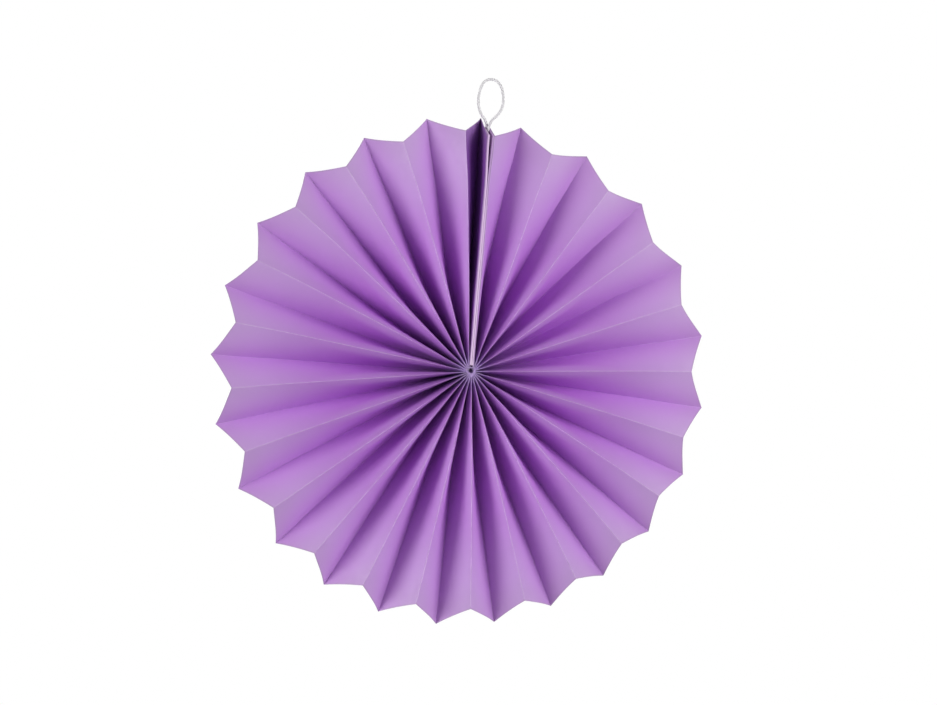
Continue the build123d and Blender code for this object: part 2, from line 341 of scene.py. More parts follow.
def fold_end(fold):
    """Radius where a fold ends: the back folds run on to the points of the rim."""
    further = LAST_POINTS * near_seam(FREE_PANELS - fold) if fold <= FREE_PANELS else 0.0
    return RIM_RADIUS + further - (0 if fold % 2 else POINT_CUT)


def fold_radius(fold, step):
    """Where a fold's stations lie: evenly as far as the cards, then further and further apart."""
    if step <= HUB_STEPS:
        return HUB_RADIUS + step / HUB_STEPS * (SEAM_PARTED - HUB_RADIUS)
    share = ((step - HUB_STEPS) / (STATIONS - HUB_STEPS)) ** STATION_BIAS
    return SEAM_PARTED + share * (fold_end(fold) - SEAM_PARTED)


def mean_radius(panel, step):
    return (fold_radius(panel, step) + fold_radius(panel + 1, step)) / 2


def stand(panel, step):
    """How deep a free panel stands, front to back."""
    return sqrt(PANEL_WIDTH**2 - chord(panel, mean_radius(panel, step)) ** 2)


def mean_stand(fold, step):
    """The same for the two panels beside a fold."""
    return (stand(fold - 1, step) + stand(fold, step)) / 2


def wave(fold, radius, angle):
    """The paper doesn't lie quite true towards the rim, away from the stiff seam."""
    from_seam = min(fold, FREE_PANELS - fold) / WAVE_PANELS
    fade = ease(from_seam) * ease((radius - WAVE_START) / (RIM_RADIUS - WAVE_START))
    place = Vector((radius * sin(angle), 0, radius * cos(angle))) / WAVE_LENGTH
    return RIM_WAVE * fade * noise.noise(place)


@lru_cache(maxsize=None)
def fold_depth(fold, step):
    """Y of a fold, negative to the front."""
    half = PANEL_WIDTH / 2
    last = FREE_PANELS - 1
    if fold == 0:
        return -half
    if fold == FREE_PANELS:
        return half
    side = 1 if fold % 2 else -1
    free = side * mean_stand(fold, step) / 2
    push_right = stand(0, step) - half - mean_stand(1, step) / 2
    push_left = half - stand(last, step) + mean_stand(last, step) / 2
    near_right = exp(-(fold - 1) / LEAN_REACH)
    near_left = exp(-(last - fold) / LEAN_REACH)
    return free + push_right * near_right + push_left * near_left


@lru_cache(maxsize=None)
def line_point(line, step):
    """A point of a fold, or of the strip's free edges: line -1 and the line after the last fold."""
    radius = fold_radius(line, step)
    if line in (-1, FOLDS):
        side = 1 if line == -1 else -1
        across = side * seam_offset(radius)
        return Vector((across, side * (PANEL_WIDTH / 2 - EDGE_SETBACK), sqrt(radius**2 - across**2)))
    angle = fold_angle(line, radius)
    depth = fold_depth(line, step) + wave(line, radius, angle)
    return Vector((radius * sin(angle), depth, radius * cos(angle)))


@lru_cache(maxsize=None)
def along(line, step):
    """Direction of a fold, away from the hub."""
    before = line_point(line, max(step - 1, 0))
    after = line_point(line, min(step + 1, STATIONS))
    return (after - before).normalized()


def towards(line, neighbour, step):
    """Direction across a panel, from one of its folds to the other, square to the fold."""
    way = line_point(neighbour, step) - line_point(line, step)
    axis = along(line, step)
    return (way - axis * way.dot(axis)).normalized()


def bent_outwards(line, face):
    """Whether the paper's face, on the front (-1) or the back (1), is on the outside of a fold's bend."""
    return 0 <= line < FOLDS and (face == 1) == (line % 2 == 1)


def fold_arc(line, step, face):
    """The paper's face at a fold: an arc on the outside of the bend, and one point on its inside."""
    middle = line_point(line, step)
    axis = along(line, step)
    half = PAPER / 2
    if line == -1:
        return [middle - towards(line, 0, step).cross(axis) * face * half]
    if line == FOLDS:
        return [middle + towards(line, line - 1, step).cross(axis) * face * half]
    back = towards(line, line - 1, step)
    ahead = towards(line, line + 1, step)
    if bent_outwards(line, face):
        first = back.cross(axis) * face
        last = ahead.cross(axis) * -face
        return [middle + first.slerp(last, i / BEND_STEPS) * half for i in range(BEND_STEPS + 1)]
    half_angle_sine = sqrt((1 - back.dot(ahead)) / 2)
    return [middle + (back + ahead).normalized() * (half / half_angle_sine)]


def swell(panel, step):
    """How far a panel bulges beside its folds. It is negative where the creases are sharper."""
    if not 0 <= panel < FREE_PANELS:
        return 0.0
    radius = mean_radius(panel, step)
    luck = random.Random(panel).uniform(1 - UNEVEN, 1 + UNEVEN)
    gathered = ease((radius - ROUND_START) / (ROUND_FULL - ROUND_START))
    opened = ease((radius - ROUND_FULL) / (ROUND_END - ROUND_FULL))
    return luck * (gathered * (1 - opened) * ROUNDING - opened * CREASING)


COLUMN_SHARES = [(1 - cos(pi * column / COLUMNS)) / 2 for column in range(COLUMNS + 1)]


def from_front_fold(panel, share):
    """How far across its panel a point lies from the fold at the front, as a share of the width."""
    return share if panel % 2 == 0 else 1 - share


def sheet_row(face, step):
    """Points of one face of the whole strip at one step, from its one free edge to the other."""
    row = fold_arc(-1, step, face)
    for panel in range(-1, FOLDS):
        arc = fold_arc(panel + 1, step, face)
        to_front = towards(panel, panel + 1, step).cross(along(panel, step))
        outwards = (along(panel, step) + along(panel + 1, step)).normalized()
        bulge = swell(panel, step)
        bow = RIM_BOW * (step / STATIONS) ** BOW_POWER if 0 <= panel < FREE_PANELS else 0
        start = row[-1]
        for share in COLUMN_SHARES[1:-1]:
            lift = to_front * bulge * sin(2 * pi * from_front_fold(panel, share))
            dip = outwards * bow * 4 * share * (1 - share)
            row.append(start.lerp(arc[0], share) + lift - dip)
        row += arc
    return row


def sheet_places(face):
    """For each point of a row, whatever the step: its panel, and how far across that panel it lies. The arc
    after a panel belongs to it, with shares above 1."""
    places = [(-1, 0.0)]
    for panel in range(-1, FOLDS):
        places += [(panel, share) for share in COLUMN_SHARES[1:]]
        if bent_outwards(panel + 1, face):
            places += [(panel, 1 + (i + 1) * ARC_WIDTH / PANEL_WIDTH) for i in range(BEND_STEPS)]
    return places


ROW_PLACES = {face: sheet_places(face) for face in (-1, 1)}
RING = len(ROW_PLACES[-1]) + len(ROW_PLACES[1])


def ring_index(face, place):
    """Where a point of a row stands in the ring of a step: the front row, then the back row reversed."""
    return place if face == -1 else RING - 1 - place


def panel_places(face, panel):
    """Row indices of a panel's points, from fold to fold."""
    inside = [i for i, (owner, share) in enumerate(ROW_PLACES[face]) if owner == panel and 0 < share <= 1]
    return [inside[0] - 1] + inside


def panel_corner(panel, face, share, radius):
    """A point's place in the flat layout, where every panel's face has a rectangle of its own."""
    row, column = divmod(panel + 1 + (0 if face == -1 else PANELS), LAYOUT_COLUMNS)
    run = END_MARGIN + END_FILL * radius / SHEET_LENGTH
    return ((column + SIDE_MARGIN + SIDE_FILL * share) / LAYOUT_COLUMNS, (row + run) / LAYOUT_ROWS)


def edge_corner(lane, across, run):
    """The same for the cut edges, which lie in narrow lanes in the last two rectangles: first the free
    ends' two, then one for each panel's inner end and one for each panel's end at the rim."""
    row, column = divmod(2 * PANELS, LAYOUT_COLUMNS)
    height = (lane + LANE_MARGIN + LANE_FILL * across) / (2 + 2 * PANELS)
    return ((column + SIDE_MARGIN + EDGE_FILL * run) / LAYOUT_COLUMNS, (row + height) / LAYOUT_ROWS)


# What the paper's finish reads at each point: distances from its front and back folds, from the hub's
# middle and from the cut rim, and 1 where a painted shadow darkens the pleat beside the seam
PaperFacts = namedtuple("PaperFacts", "from_front from_back radius from_rim sheltered")


def paper_facts(face, panel, share, step):
    radius = fold_radius(panel, step) * (1 - share) + fold_radius(panel + 1, step) * share
    end = fold_end(panel) * (1 - share) + fold_end(panel + 1) * share
    front = from_front_fold(panel, share)
    # Painted shadow on the front faces of the pleat beside the seam
    sheltered = 1.0 if face == -1 and panel >= FREE_PANELS - 1 else 0.0
    return PaperFacts(front * PANEL_WIDTH, (1 - front) * PANEL_WIDTH, radius, end - radius, sheltered)


def sheet_points():
    """All points of the paper's skin, ring by ring from the hub, and the facts about each."""
    points = []
    facts = []
    for step in range(STATIONS + 1):
        for face in (-1, 1):
            row = [HUB + point for point in sheet_row(face, step)]
            known = [paper_facts(face, panel, min(share, 1.0), step) for panel, share in ROW_PLACES[face]]
            points += row[::face * -1]
            facts += known[::face * -1]
    return points, facts


def side_faces(facts):
    """The strip's two sides. Here and below a face is a list of corners, each a point's index and its place
    in the flat layout."""
    faces = []
    for face in (-1, 1):
        places = ROW_PLACES[face]
        for i in range(len(places) - 1):
            panel, share = places[i + 1]
            start = places[i][1] if places[i][0] == panel else 0.0
            left = ring_index(face, i)
            right = ring_index(face, i + 1)
            for step in range(STATIONS):
                low, high = step * RING, (step + 1) * RING
                inner = [(low + left, start), (low + right, share)]
                outer = [(high + right, share), (high + left, start)]
                corners = [
                    (index, panel_corner(panel, face, across, facts[index].radius))
                    for index, across in inner + outer
                ]
                faces.append(corners[::face * -1])
    return faces


def free_edge_faces(facts):
    """The cut edges at the strip's two free ends, from the hub to the rim."""
    faces = []
    for lane, line in ((0, -1), (1, FOLDS)):
        front = 0 if line == -1 else len(ROW_PLACES[-1]) - 1
        back = RING - 1 if line == -1 else len(ROW_PLACES[-1])
        for step in range(STATIONS):
            low, high = step * RING, (step + 1) * RING
            quad = [(low + front, 0), (low + back, 1), (high + back, 1), (high + front, 0)]
            if line == -1:
                quad.reverse()
            corners = []
            for index, across in quad:
                corners.append((index, edge_corner(lane, across, facts[index].radius / SHEET_LENGTH)))
            faces.append(corners)
    return faces


def bend_end_faces(panel, step, lane):
    """The cut edge of the bend after a panel, as triangles that meet inside the bend."""
    outer = -1 if (panel + 1) % 2 == 0 else 1
    first = panel_places(outer, panel)[-1]
    inside = step * RING + ring_index(-outer, panel_places(-outer, panel)[-1])
    bend = [step * RING + ring_index(outer, first + k) for k in range(BEND_STEPS + 1)]
    faces = []
    for k in range(BEND_STEPS):
        triangle = [bend[k], bend[k + 1], inside]
        if (outer == 1) != (step == 0):
            triangle.reverse()
        faces.append([(index, edge_corner(lane, 0.5, 0.5)) for index in triangle])
    return faces


def long_edge_faces():
    """The cut edges along the strip, round the hub and along the rim."""
    faces = []
    for end, step in enumerate((0, STATIONS)):
        for panel in range(-1, FOLDS):
            lane = 2 + end * PANELS + panel + 1
            front = [step * RING + ring_index(-1, i) for i in panel_places(-1, panel)]
            back = [step * RING + ring_index(1, i) for i in panel_places(1, panel)]
            for k in range(COLUMNS):
                near, far = 0.5 * COLUMN_SHARES[k], 0.5 * COLUMN_SHARES[k + 1]
                quad = [
                    (front[k], edge_corner(lane, 0, near)),
                    (front[k + 1], edge_corner(lane, 0, far)),
                    (back[k + 1], edge_corner(lane, 1, far)),
                    (back[k], edge_corner(lane, 1, near)),
                ]
                if step == 0:
                    quad.reverse()
                faces.append(quad)
            if panel < FOLDS - 1:
                faces += bend_end_faces(panel, step, lane)
    return faces


def keep_on_points(mesh, name, values):
    """Keeps a number or a vector for each point of a mesh, which its finish reads by name."""
    if isinstance(values[0], tuple):
        kept = mesh.attributes.new(name, "FLOAT_VECTOR", "POINT")
        kept.data.foreach_set("vector", [part for value in values for part in value])
    else:
        kept = mesh.attributes.new(name, "FLOAT", "POINT")
        kept.data.foreach_set("value", values)


def pleated_paper():
    """The whole folded strip as one closed skin, as thick as its paper."""
    points, facts = sheet_points()
    sides = side_faces(facts)
    cut_edges = free_edge_faces(facts) + long_edge_faces()
    faces = sides + cut_edges
    mesh = bpy.data.meshes.new("pleated_paper")
    mesh.from_pydata(points, [], [[index for index, _ in face] for face in faces])
    mesh.polygons.foreach_set("material_index", [0] * len(sides) + [1] * len(cut_edges))
    mesh.polygons.foreach_set("use_smooth", [True] * len(faces))
    layout = mesh.uv_layers.new(name="OFBake")
    layout.data.foreach_set("uv", [value for face in faces for _, place in face for value in place])
    keep_on_points(mesh, "sheet_place", [(fact.from_front, fact.from_back, fact.radius) for fact in facts])
    keep_on_points(mesh, "from_rim", [fact.from_rim for fact in facts])
    keep_on_points(mesh, "sheltered", [fact.sheltered for fact in facts])
    mesh.set_sharp_from_angle(angle=SHARP_ANGLE)
    mesh.update()
    return mesh


# Card strips

def card_strip(name, side):
    """One card, on the right (1) or left (-1): bent outwards where it takes the loop, cut at the rim's
    slant, and with its front corner running on towards the hub."""
    half = PANEL_WIDTH / 2
    rings = [
        (CARD_TIP, CARD_TIP, CARD_TIP_END - half),
        (CARD_START, CARD_START, CARD_TIP_DEPTH - half),
    ]
    for step in range(CARD_STEPS + 1):
        share = step / CARD_STEPS
        front = CARD_START + share * (RIM_RADIUS - POINT_CUT - CARD_START)
        back = CARD_START + share * (RIM_RADIUS - CARD_START)
        rings.append((front, back, half))
    points = []  # of each ring the front's inner and outer corner, then the back's
    for front, back, depth in rings:
        for radius, place in ((front, -half), (back, depth)):
            inner = TAPE / 2 + splay(radius)
            points += [HUB + Vector((side * across, place, radius)) for across in (inner, inner + CARD)]
    around = [(0, 1), (1, 3), (3, 2), (2, 0)]
    faces = [(0, 1, 3, 2)]
    for ring in range(len(rings) - 1):
        low, high = 4 * ring, 4 * (ring + 1)
        faces += [(low + one, high + one, high + other, low + other) for one, other in around]
    last = 4 * (len(rings) - 1)
    faces.append((last, last + 2, last + 3, last + 1))
    mesh = bpy.data.meshes.new(name)
    mesh.from_pydata(points, [], faces if side == -1 else [face[::-1] for face in faces])
    mesh.update()
    return mesh


# Cord and thread

def points_along(name, controls):
    """Points read in order from the NURBS curve that has these control points."""
    curve = bpy.data.curves.new(name, "CURVE")
    curve.dimensions = "3D"
    spline = curve.splines.new("NURBS")
    spline.points.add(len(controls) - 1)
    for target, point in zip(spline.points, controls):
        target.co = (*point, 1)
    spline.order_u = 3
    spline.use_endpoint_u = True
    spline.resolution_u = 16
    carrier = bpy.data.objects.new(name, curve)
    mesh = bpy.data.meshes.new_from_object(carrier)
    points = [vertex.co.copy() for vertex in mesh.vertices]
    bpy.data.objects.remove(carrier)
    bpy.data.meshes.remove(mesh)
    return points


def frames_along(points, closed):
    """At each point of a line, two directions across it that turn as little as possible."""
    frames = []
    across = None
    for i, point in enumerate(points):
        before = points[i - 1] if i or closed else point
        after = points[(i + 1) % len(points)] if i < len(points) - 1 or closed else point
        direction = (after - before).normalized()
        if across is None:
            across = direction.orthogonal().normalized()
        across = (across - direction * across.dot(direction)).normalized()
        frames.append((point, across, direction.cross(across)))
    return frames


def twisted_plies(name, points, plies, turns, girth, sides, closed=False):
    """Yarn plies laid round one another along a line. Each point carries its place in its own ply, as if
    the ply were straight, for the finish's fibres."""
    ply_radius = PLY_PRESSED * girth / 2 / (1 + 1 / sin(pi / plies))
    lay_radius = girth / 2 - ply_radius
    thinner, wider = 1 - PLY_FLATTENED, 1 + PLY_FLATTENED
    lengths = [0.0]
    for before, after in zip(points, points[1:]):
        lengths.append(lengths[-1] + (after - before).length)
    total = lengths[-1] + ((points[0] - points[-1]).length if closed else 0)
    rings = len(points)
    vertices = []
    faces = []
    places = []
    for ply in range(plies):
        base = len(vertices)
        for (middle, one, other), length in zip(frames_along(points, closed), lengths):
            turn = 2 * pi * (turns * length / total + ply / plies)
            out = one * cos(turn) + other * sin(turn)
            beside = other * cos(turn) - one * sin(turn)
            for side in range(sides):
                angle = 2 * pi * side / sides
                reach = out * cos(angle) * thinner + beside * sin(angle) * wider
                vertices.append(middle + out * lay_radius + reach * ply_radius)
                untwisted = angle - turn
                along_ply = length + ply * total
                places.append((ply_radius * cos(untwisted), ply_radius * sin(untwisted), along_ply))
        for ring in range(rings if closed else rings - 1):
            here = base + ring * sides
            there = base + (ring + 1) % rings * sides
            for side in range(sides):
                after = (side + 1) % sides
                faces.append((here + side, here + after, there + after, there + side))
        if not closed:
            faces.append(tuple(base + side for side in reversed(range(sides))))
            faces.append(tuple(base + (rings - 1) * sides + side for side in range(sides)))
    mesh = bpy.data.meshes.new(name)
    mesh.from_pydata(vertices, [], faces)
    mesh.polygons.foreach_set("use_smooth", [True] * len(faces))
    keep_on_points(mesh, "yarn_place", places)
    mesh.update()
    return mesh


def thread_ring():
    """The thread through the panels' inner ends."""
    turns = [2 * pi * i / THREAD_STEPS for i in range(THREAD_STEPS)]
    ring = [HUB + Vector((sin(turn), 0, cos(turn))) * THREAD_RADIUS for turn in turns]
    return twisted_plies("thread_ring", ring, THREAD_PLIES, THREAD_TURNS, THREAD, THREAD_SIDES, closed=True)


def thread_knot():
    """The wraps of its knot, in the seam."""
    steps = KNOT_STEPS * KNOT_WRAPS
    wraps = []
    for i in range(steps + 1):
        turn = 2 * pi * KNOT_WRAPS * i / steps
        place = Vector((KNOT_LENGTH * (i / steps - 0.5), KNOT_RADIUS * cos(turn), KNOT_RADIUS * sin(turn)))
        wraps.append(HUB + Vector((0, 0, THREAD_RADIUS)) + place)
    girth = THREAD * KNOT_TIGHTNESS
    return twisted_plies("thread_knot", wraps, THREAD_PLIES, KNOT_TURNS, girth, KNOT_SIDES)


# Finishes

def put(tree, kind, inputs=None, **settings):
    """A node with its settings. Each input is a value or another node's output."""
    placed = tree.nodes.new(kind)
    for name, value in settings.items():
        setattr(placed, name, value)
    for name, value in (inputs or {}).items():
        if isinstance(value, bpy.types.NodeSocket):
            tree.links.new(value, placed.inputs[name])
        else:
            placed.inputs[name].default_value = value
    return placed


def maths(tree, operation, *values):
    return put(tree, "ShaderNodeMath", dict(enumerate(values)), operation=operation).outputs[0]


def opaque(colour):
    """A colour with its alpha. Another node's output stays as it is."""
    return (*colour, 1) if isinstance(colour, tuple) else colour


def mixed(tree, share, first, second):
    """From the first colour to the second."""
    colours = {0: share, 6: opaque(first), 7: opaque(second)}
    return put(tree, "ShaderNodeMix", colours, data_type="RGBA").outputs[2]


def stepped(tree, value, start, end, low=0.0, high=1.0):
    """A smooth step of a value: low before start, high after end."""
    limits = {0: value, 1: start, 2: end, 3: low, 4: high}
    return put(tree, "ShaderNodeMapRange", limits, interpolation_type="SMOOTHSTEP").outputs[0]


def new_group(name, inputs, outputs):
    group = bpy.data.node_groups.new(name, "ShaderNodeTree")
    for title, kind, value in inputs:
        socket = group.interface.new_socket(name=title, in_out="INPUT", socket_type=kind)
        if value is not None:
            socket.default_value = value
    for title in outputs:
        group.interface.new_socket(name=title, in_out="OUTPUT", socket_type="NodeSocketFloat")
    return group, group.nodes.new("NodeGroupInput").outputs, group.nodes.new("NodeGroupOutput").inputs


def use_group(tree, group, inputs):
    return put(tree, "ShaderNodeGroup", inputs, node_tree=group).outputs


def make_sheet_grain():
    """Pressed fibres of paper and board: soft clouds, and fine stray fibres over them."""
    inputs = [("Place", "NodeSocketVector", None), ("Fibre Size", "NodeSocketFloat", PAPER_FIBRE)]
    group, given, result = new_group("sheet_grain", inputs, ["Tone", "Height"])
    place = given["Place"]
    fineness = maths(group, "DIVIDE", 1.0, given["Fibre Size"])
    cloud_scale = maths(group, "MULTIPLY", fineness, CLOUD_FINENESS)
    clouds = put(group, "ShaderNodeTexNoise", {"Vector": place, "Scale": cloud_scale, "Detail": 5.0})
    stray = put(group, "ShaderNodeTexNoise", {"Vector": place, "Scale": fineness, "Distortion": 1.2})
    from_fibre = maths(group, "ABSOLUTE", maths(group, "SUBTRACT", stray.outputs[0], 0.5))
    fibre = stepped(group, from_fibre, 0.0, STRAY_WIDTH, 1.0, 0.0)
    group.links.new(maths(group, "MULTIPLY_ADD", fibre, STRAY_TONE, clouds.outputs[0]), result["Tone"])
    group.links.new(maths(group, "MULTIPLY_ADD", fibre, STRAY_HEIGHT, clouds.outputs[0]), result["Height"])
    return group


def make_worn_line():
    """Rubbed paper along a fold or an edge: strongest on the line, broken up along it."""
    inputs = [
        ("Distance", "NodeSocketFloat", 1.0),
        ("Width", "NodeSocketFloat", 0.5 * MM),
        ("Place", "NodeSocketVector", None),
        ("Break Size", "NodeSocketFloat", 4 * MM),
    ]
    group, given, result = new_group("worn_line", inputs, ["Mask"])
    scale = maths(group, "DIVIDE", 1.0, given["Break Size"])
    broken = put(group, "ShaderNodeTexNoise", {"Vector": given["Place"], "Scale": scale, "Detail": 3.0})
    uneven = stepped(group, broken.outputs[0], *BREAK_RANGE, LEAST_WORN, 1.0)
    near = maths(group, "DIVIDE", given["Distance"], given["Width"])
    line = stepped(group, near, 0.0, 1.0, 1.0, 0.0)
    group.links.new(maths(group, "MULTIPLY", line, uneven), result["Mask"])
    return group


def make_yarn_fibre():
    """Fibres that run along a twisted ply."""
    inputs = [("Place", "NodeSocketVector", None), ("Fibre Width", "NodeSocketFloat", 0.1 * MM)]
    group, given, result = new_group("yarn_fibre", inputs, ["Tone", "Height"])
    stretch = {0: given["Place"], 1: YARN_STRETCH}
    place = put(group, "ShaderNodeVectorMath", stretch, operation="MULTIPLY").outputs["Vector"]
    scale = maths(group, "DIVIDE", 1.0, given["Fibre Width"])
    fibres = put(group, "ShaderNodeTexNoise", {"Vector": place, "Scale": scale, "Detail": 2.0})
    group.links.new(stepped(group, fibres.outputs[0], *YARN_RANGE), result["Tone"])
    group.links.new(fibres.outputs[0], result["Height"])
    return group


SHEET_GRAIN = make_sheet_grain()
WORN_LINE = make_worn_line()
YARN_FIBRE = make_yarn_fibre()


def new_material(name, roughness=0.5, specular=0.3):
    """A material with a plain Principled surface."""
    material = bpy.data.materials.new(name)
    material.use_nodes = True
    tree = material.node_tree
    surface = tree.nodes["Principled BSDF"]
    surface.inputs["Roughness"].default_value = roughness
    surface.inputs["Specular IOR Level"].default_value = specular
    return material, tree, surface


def raise_grain(tree, surface, height, strength):
    settings = {"Height": height, "Strength": strength, "Distance": GRAIN_HEIGHT}
    bump = put(tree, "ShaderNodeBump", settings)
    tree.links.new(bump.outputs[0], surface.inputs["Normal"])


def object_place(tree):
    return put(tree, "ShaderNodeTexCoord").outputs["Object"]


def kept_on_points(tree, name, output):
    """What a mesh keeps for each point, as a value (Fac) or a vector (Vector)."""
    return put(tree, "ShaderNodeAttribute", attribute_name=name).outputs[output]


def worn(tree, distance, width, place, strength):
    """How rubbed or soiled a surface is along a line."""
    line = use_group(tree, WORN_LINE, {"Distance": distance, "Width": width, "Place": place})["Mask"]
    return maths(tree, "MULTIPLY", line, strength)


def lilac_paper(name, cut_edge):
    """Coloured paper: cloudy, with painted shade towards the hub, painted light outwards and beside the
    front folds, and a painted shadow in the pleat beside the seam; rubbed pale along its folds, greyed by
    handling at the hub, and greyer along its cut rim. Its cut edges show the paler middle of the sheet."""
    material, tree, surface = new_material(name, specular=0.9)
    place = object_place(tree)
    sheet = kept_on_points(tree, "sheet_place", "Vector")
    from_front, from_back, radius = put(tree, "ShaderNodeSeparateXYZ", {0: sheet}).outputs
    from_rim = kept_on_points(tree, "from_rim", "Fac")
    grain = use_group(tree, SHEET_GRAIN, {"Place": place, "Fibre Size": PAPER_FIBRE})
    colour = mixed(tree, stepped(tree, grain["Tone"], *TONE_RANGE), LILAC_CLOUD, LILAC)
    # Painted shade: darker towards the hub, where the pleats are deep
    colour = mixed(tree, stepped(tree, radius, *INNER_SHADE_ZONE, 1.0, 0.0), colour, LILAC_INNER_SHADE)

    # Painted light: paler outwards and beside the front folds, less towards the back folds
    less_behind = stepped(tree, from_front, 0.0, PANEL_WIDTH, 1.0, BACKS_LIT)
    all_over = maths(tree, "MULTIPLY", stepped(tree, radius, *LIT_ZONE), less_behind)
    beside_fronts = stepped(tree, from_front, 0.0, FRONTS_LIT_REACH * PANEL_WIDTH, 1.0, 0.0)
    fronts = maths(tree, "MULTIPLY", stepped(tree, radius, *FRONTS_LIT_ZONE, 0.0, FRONTS_LIT), beside_fronts)
    colour = mixed(tree, maths(tree, "MAXIMUM", all_over, fronts), colour, LILAC_LIT)

    # Painted shadow: the pleat beside the seam darkened where the cards shade it
    sheltered = kept_on_points(tree, "sheltered", "Fac")
    sheltered = maths(tree, "MULTIPLY", sheltered, stepped(tree, radius, *SEAM_SHADOW_ZONE))
    colour = mixed(tree, sheltered, colour, LILAC_SEAM_SHADOW)

    rubbed = stepped(tree, radius, *RUBBED_ZONE, *RUBBED)
    colour = mixed(tree, worn(tree, from_front, FRONT_LINE, place, rubbed), colour, LILAC_WORN)
    colour = mixed(tree, worn(tree, from_back, BACK_LINE, place, BACK_RUBBED), colour, LILAC_WORN)
    colour = mixed(tree, stepped(tree, radius, *HANDLED_ZONE, HANDLED, 0.0), colour, HUB_GREY)
    colour = mixed(tree, stepped(tree, radius, *PALE_ZONE, PALE, 0.0), colour, HUB_PALE)
    colour = mixed(tree, stepped(tree, from_rim, 0.0, RIM_BAND, RIM_BAND_GREY, 0.0), colour, RIM_GREY)
    colour = mixed(tree, worn(tree, from_rim, RIM_LINE, place, RIM_LINE_GREY), colour, RIM_GREY)
    if cut_edge:
        colour = mixed(tree, maths(tree, "MULTIPLY", grain["Tone"], CUT_PALE), colour, HUB_PALE)
    tree.links.new(colour, surface.inputs["Base Color"])
    roughness = stepped(tree, grain["Tone"], *SOFT_RANGE, *PAPER_ROUGHNESS)
    tree.links.new(roughness, surface.inputs["Roughness"])
    raise_grain(tree, surface, grain["Height"], strength=0.18)
    return material


def white_card(name, paper_shade_start, paper_shade, rim_shade):
    """White board with painted lilac light reflected from the paper, and painted lilac shade that deepens
    across its thickness towards the paper. The first number after the name is where in its thickness, from
    its inner face, that shade begins, and the second how much of it there is beside the paper. The third is
    how much painted shade greys the board at the rim."""
    material, tree, surface = new_material(name, roughness=0.7)
    place = object_place(tree)
    across, _, height = put(tree, "ShaderNodeSeparateXYZ", {0: place}).outputs
    radius = maths(tree, "SUBTRACT", height, HUB.z)
    splay_end = SPLAY_START + SPLAY_LENGTH
    inner_face = stepped(tree, radius, SPLAY_START, splay_end, TAPE / 2, TAPE / 2 + SPLAY)
    depth = maths(tree, "SUBTRACT", maths(tree, "ABSOLUTE", across), inner_face)
    grain = use_group(tree, SHEET_GRAIN, {"Place": place, "Fibre Size": CARD_FIBRE})
    colour = mixed(tree, stepped(tree, grain["Tone"], *TONE_RANGE), CARD_FLECK, CARD_WHITE)
    # Painted lilac light reflected from the paper, a little less at the hub
    colour = mixed(tree, stepped(tree, radius, *LILAC_BOUNCE_ZONE, *LILAC_BOUNCE), colour, CARD_LILAC_BOUNCE)
    # Painted lilac shade, deepening across the card's thickness towards the paper
    colour = mixed(tree, stepped(tree, depth, paper_shade_start * CARD, CARD, 0.0, paper_shade), colour, CARD_PAPER_SHADE)
    # Painted shade towards the rim, for the shaded gap between the cards
    colour = mixed(tree, stepped(tree, radius, *CARD_SHADE_ZONE, 0.0, rim_shade), colour, CARD_PAINTED_SHADE)
    tree.links.new(colour, surface.inputs["Base Color"])
    raise_grain(tree, surface, grain["Height"], strength=0.3)
    return material


def adhesive_tape():
    """Milky film, smeared with glue."""
    material, tree, surface = new_material("adhesive_tape")
    grain = use_group(tree, SHEET_GRAIN, {"Place": object_place(tree), "Fibre Size": TAPE_BLOTCH})
    colour = mixed(tree, stepped(tree, grain["Tone"], *SOFT_RANGE), TAPE_SMEAR, TAPE_FILM)
    tree.links.new(colour, surface.inputs["Base Color"])
    roughness = stepped(tree, grain["Tone"], *SOFT_RANGE, *TAPE_ROUGHNESS)
    tree.links.new(roughness, surface.inputs["Roughness"])
    return material


def yarn(name, pale, shade, fibre_width):
    """Soft twisted cotton, darker between its fibres."""
    material, tree, surface = new_material(name, roughness=0.8, specular=0.2)
    surface.inputs["Sheen Weight"].default_value = 0.25
    place = kept_on_points(tree, "yarn_place", "Vector")
    fibre = use_group(tree, YARN_FIBRE, {"Place": place, "Fibre Width": fibre_width})
    tree.links.new(mixed(tree, fibre["Tone"], shade, pale), surface.inputs["Base Color"])
    raise_grain(tree, surface, fibre["Height"], strength=0.5)
    return material


def seen_directly(tree):
    """1 for rays from the camera and for those in gloss and glass."""
    path = put(tree, "ShaderNodeLightPath").outputs
    either = maths(tree, "MAXIMUM", path["Is Camera Ray"], path["Is Glossy Ray"])
    return maths(tree, "MAXIMUM", either, path["Is Transmission Ray"])


def pale_floor():
    """A plain pale floor whose far parts fade into the background. It keeps the rosette's shadow."""
    material, tree, surface = new_material("pale_floor", roughness=0.8)
    place = object_place(tree)
    grain = use_group(tree, SHEET_GRAIN, {"Place": place, "Fibre Size": FLOOR_BLOTCH})
    colour = mixed(tree, stepped(tree, grain["Tone"], *SOFT_RANGE), FLOOR_PALE, FLOOR_FLECK)
    tree.links.new(colour, surface.inputs["Base Color"])
    distance = put(tree, "ShaderNodeVectorMath", {0: place}, operation="LENGTH").outputs["Value"]
    far = stepped(tree, distance, FLOOR_PLAIN, FLOOR_RADIUS * FLOOR_FADED)
    glow = put(tree, "ShaderNodeEmission", {"Color": opaque(WHITE), "Strength": 1.0}).outputs[0]
    share = maths(tree, "MULTIPLY", far, seen_directly(tree))
    blend = put(tree, "ShaderNodeMixShader", {0: share, 1: surface.outputs[0], 2: glow})
    tree.links.new(blend.outputs[0], tree.nodes["Material Output"].inputs["Surface"])
    return material


# Putting it together

def add_piece(name, mesh, materials):
    piece = bpy.data.objects.new(name, mesh)
    bpy.context.scene.collection.objects.link(piece)
    for material in materials:
        mesh.materials.append(material)
    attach(piece, "root")
    return piece


